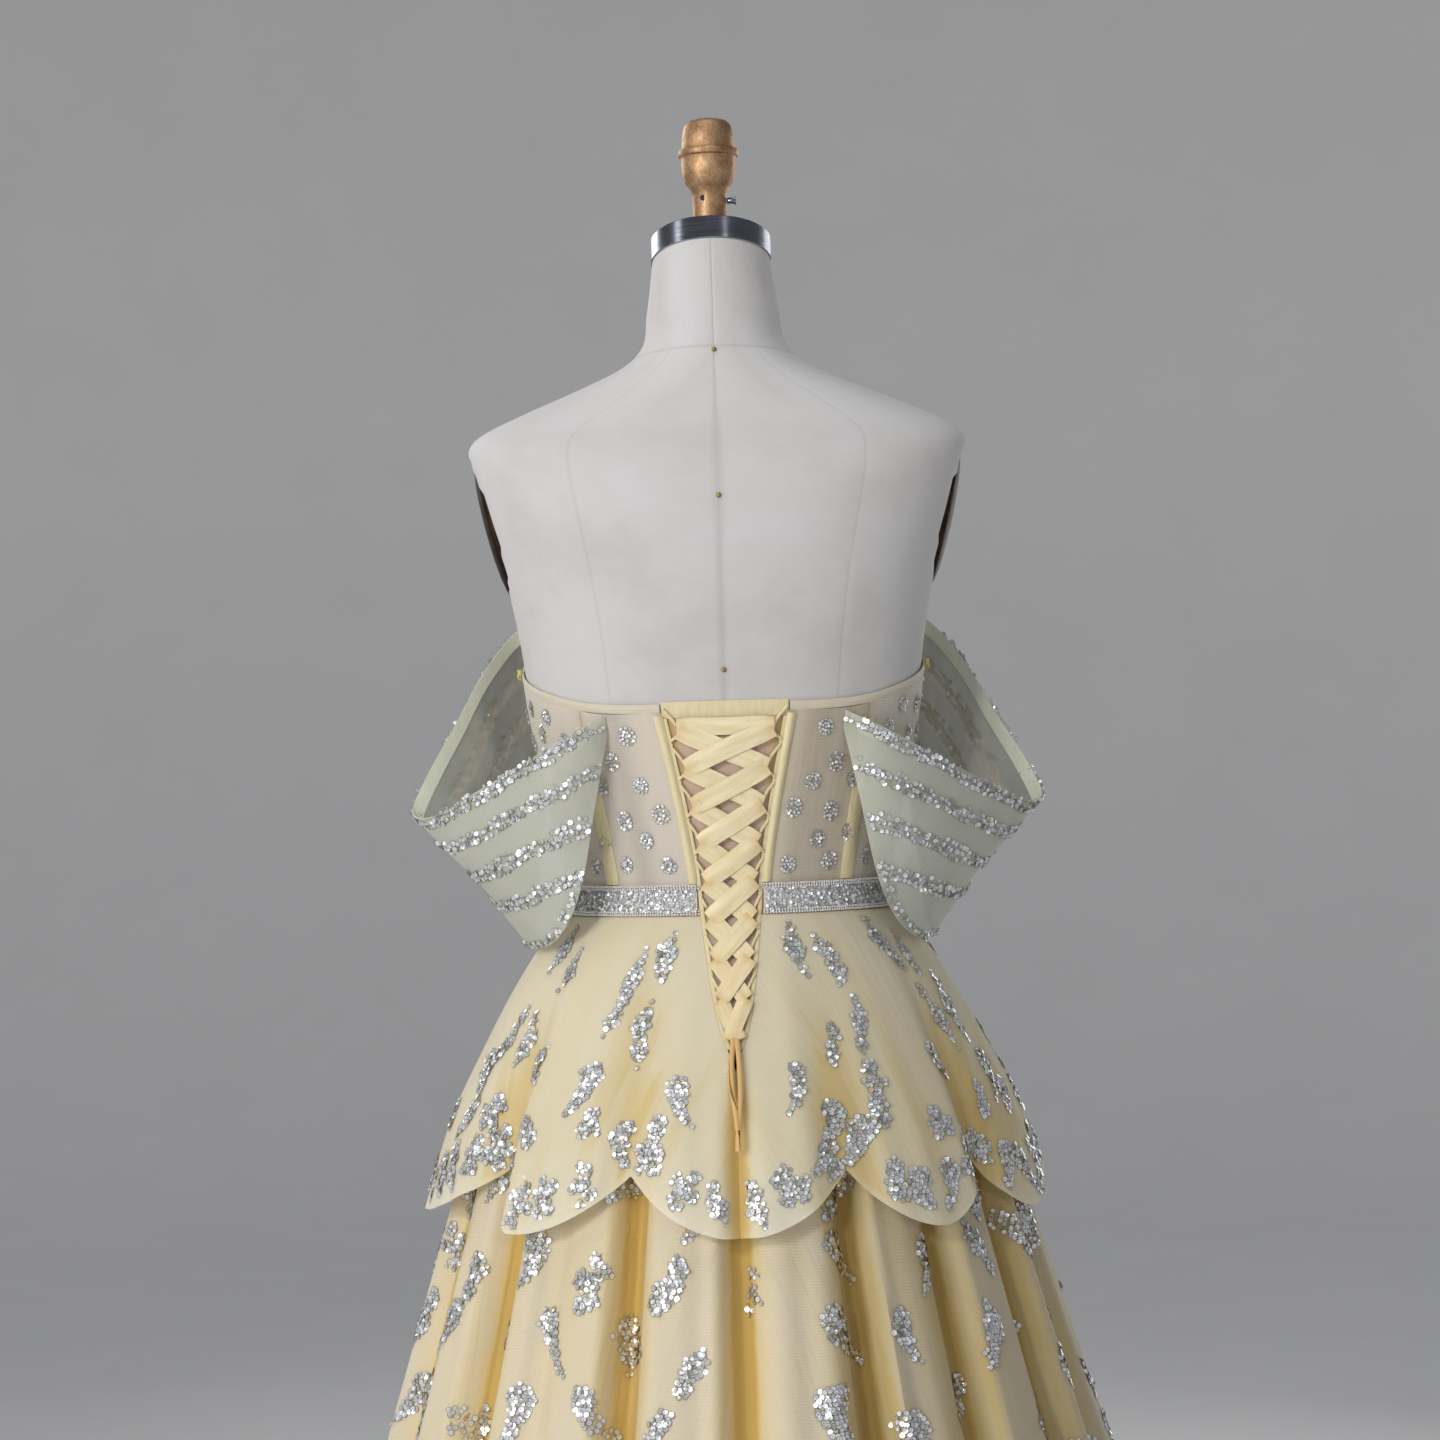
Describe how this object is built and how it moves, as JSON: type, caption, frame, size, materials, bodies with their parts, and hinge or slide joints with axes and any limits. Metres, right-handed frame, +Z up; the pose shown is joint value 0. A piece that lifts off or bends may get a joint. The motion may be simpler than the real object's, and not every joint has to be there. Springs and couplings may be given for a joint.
{
  "type": "ball gown on dress form",
  "caption": "Off-shoulder ball gown with laced back, beaded belt, scalloped peplum and full folded skirt, shown on a limbless dress form with a pole and round stand.",
  "frame": {"origin": "on the floor, at the axis of the form's pole, in the middle of the stand's underside", "axes": "+Z up, the gown's front faces -Y, the laced back faces +Y, the wearer's left is +X"},
  "size_m": [0.9726, 0.9508, 1.7],
  "materials": {
    "bodice_organza": "finely ribbed sheer organza over a nude base",
    "skirt_organza": "sheer pale yellow organza with silver sequin clusters",
    "lining_satin": "golden yellow satin",
    "sleeve_organza": "sheer ivory-green organza with silver sequin rows",
    "ribbon_satin": "pale yellow satin",
    "beading": "silver sequins and beads sewn close together on a band",
    "form_cover": "close off-white linen cover",
    "steel": "brushed steel",
    "cast_bronze": "worn cast bronze",
    "armhole_plate": "dark bronze paint",
    "stand_iron": "dark satin enamel"
  },
  "bodies": {
    "root": {"form_torso": "form_cover", "form_arm_plate_left": "armhole_plate", "form_arm_plate_right": "armhole_plate", "form_neck_plate": "steel", "form_finial": "cast_bronze", "form_set_screw": "steel", "form_pole": "steel", "form_stand": "stand_iron", "bodice_back_left": "bodice_organza", "bodice_back_right": "bodice_organza", "bodice_side_left": "bodice_organza", "bodice_side_right": "bodice_organza", "bodice_side_front_left": "bodice_organza", "bodice_side_front_right": "bodice_organza", "bodice_front": "bodice_organza", "top_band": "sleeve_organza", "belt_left": "beading", "belt_right": "beading", "opening_binding_left": "ribbon_satin", "opening_binding_right": "ribbon_satin", "boning_left": "ribbon_satin", "boning_right": "ribbon_satin", "modesty_panel": "bodice_organza", "modesty_band": "ribbon_satin", "loop_tape_left": "ribbon_satin", "loop_tape_right": "ribbon_satin", "lacing_ribbon": "ribbon_satin", "skirt_back_left": "skirt_organza", "skirt_back_right": "skirt_organza", "skirt_front": "skirt_organza", "peplum_back_left": "skirt_organza", "peplum_back_right": "skirt_organza", "peplum_front": "skirt_organza", "lining_left": "lining_satin", "lining_right": "lining_satin", "sleeve_left": "sleeve_organza", "sleeve_right": "sleeve_organza"}
  },
  "joints": []
}
